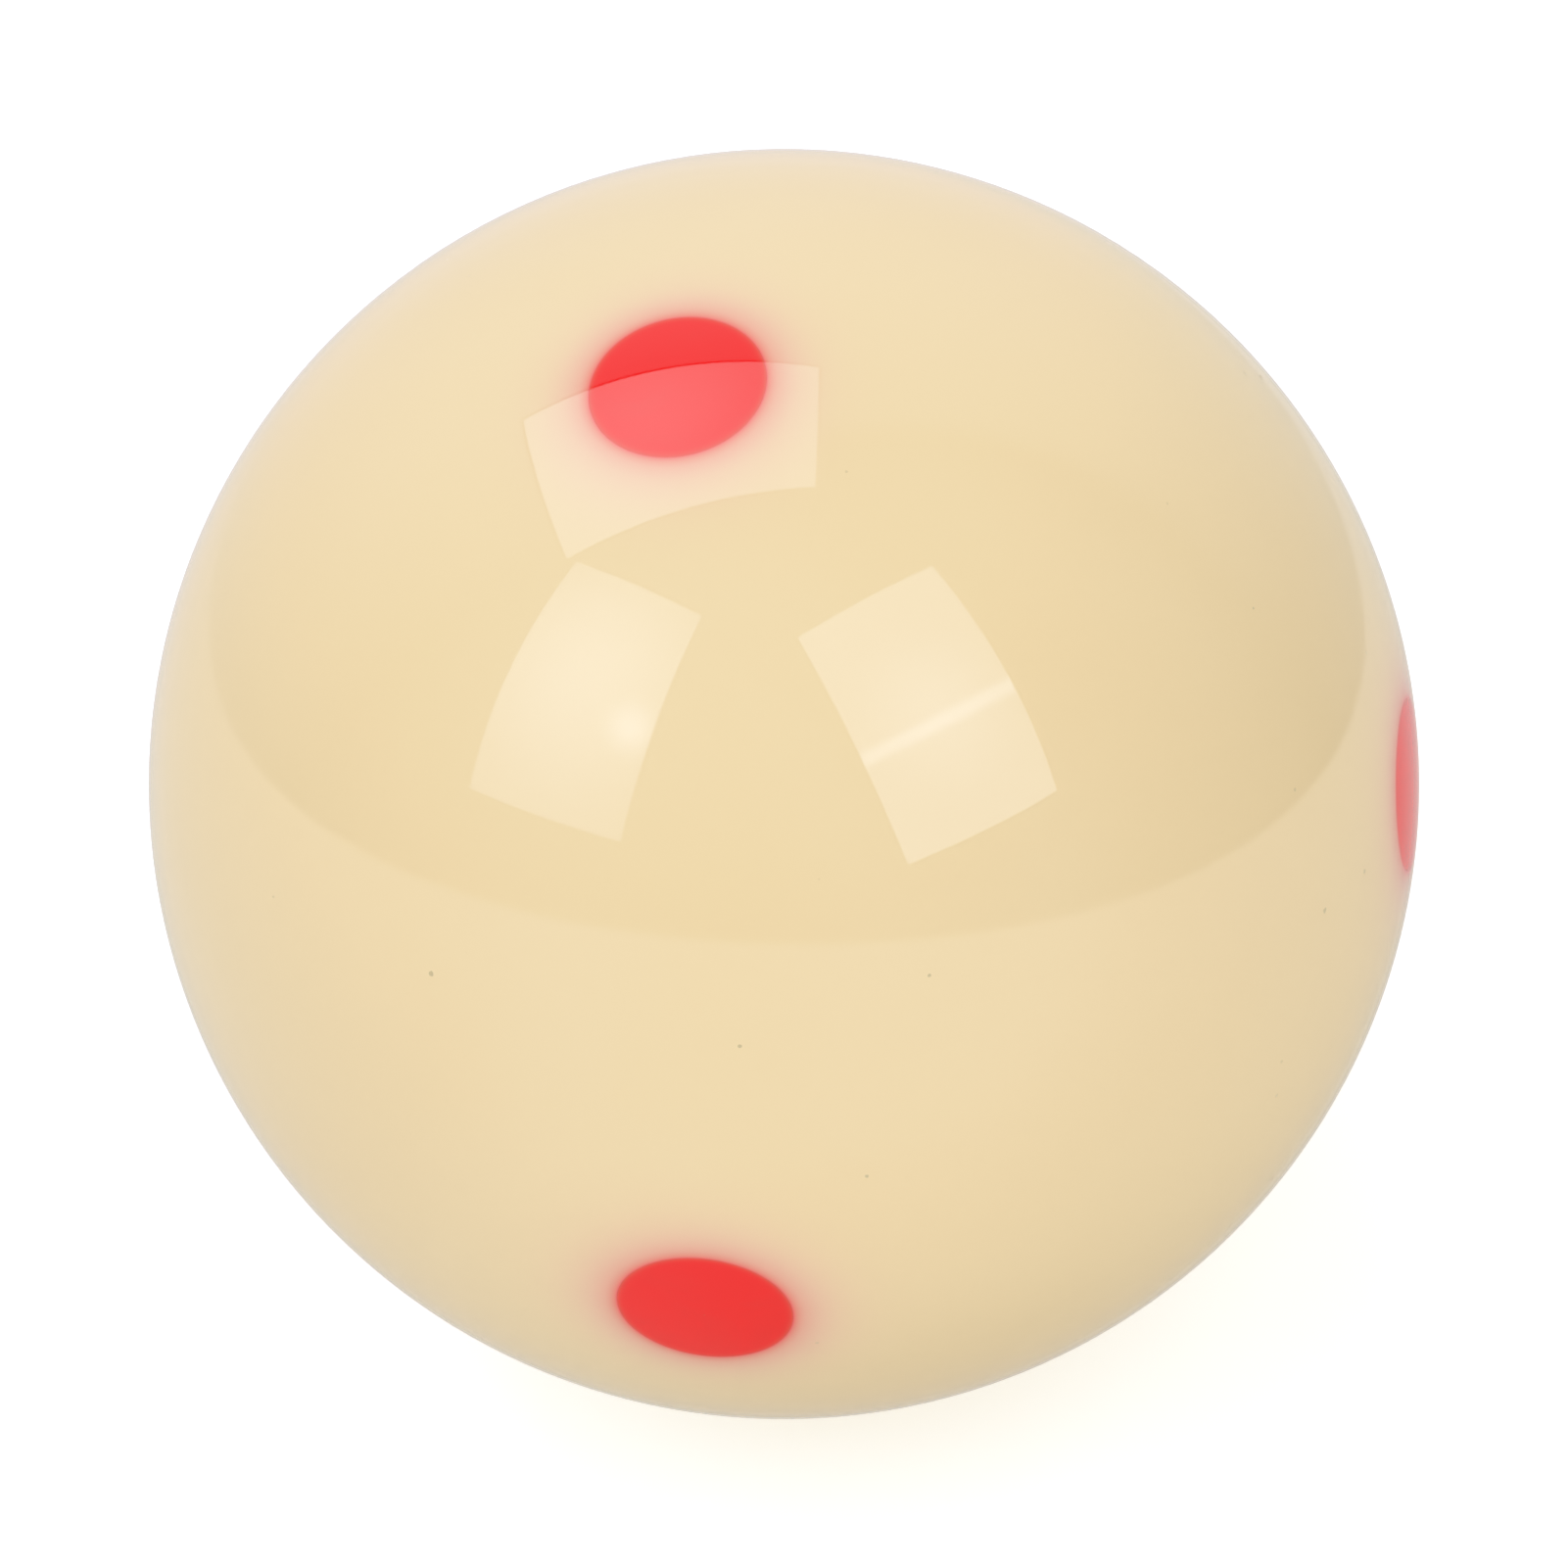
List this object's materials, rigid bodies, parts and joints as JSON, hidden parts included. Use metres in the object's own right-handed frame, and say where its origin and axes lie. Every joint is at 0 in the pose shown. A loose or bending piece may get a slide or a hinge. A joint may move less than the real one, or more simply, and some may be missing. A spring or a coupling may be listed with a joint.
{
  "type": "cue ball",
  "caption": "Practice cue ball: a polished ball of cast resin, with flush round inlays on three square axes that show how it spins.",
  "frame": {"origin": "centre of the ball", "axes": "+Z out through the top inlay, +X through the right inlay, -Y through the front inlay; the other inlays are opposite these"},
  "size_m": [0.0572, 0.0572, 0.0572],
  "materials": {
    "ivory_resin": "polished",
    "red_resin": "polished"
  },
  "bodies": {
    "root": {"ball_body": "ivory_resin", "dot_plug_top": "red_resin", "dot_plug_bottom": "red_resin", "dot_plug_front": "red_resin", "dot_plug_back": "red_resin", "dot_plug_right": "red_resin", "dot_plug_left": "red_resin"}
  },
  "joints": []
}
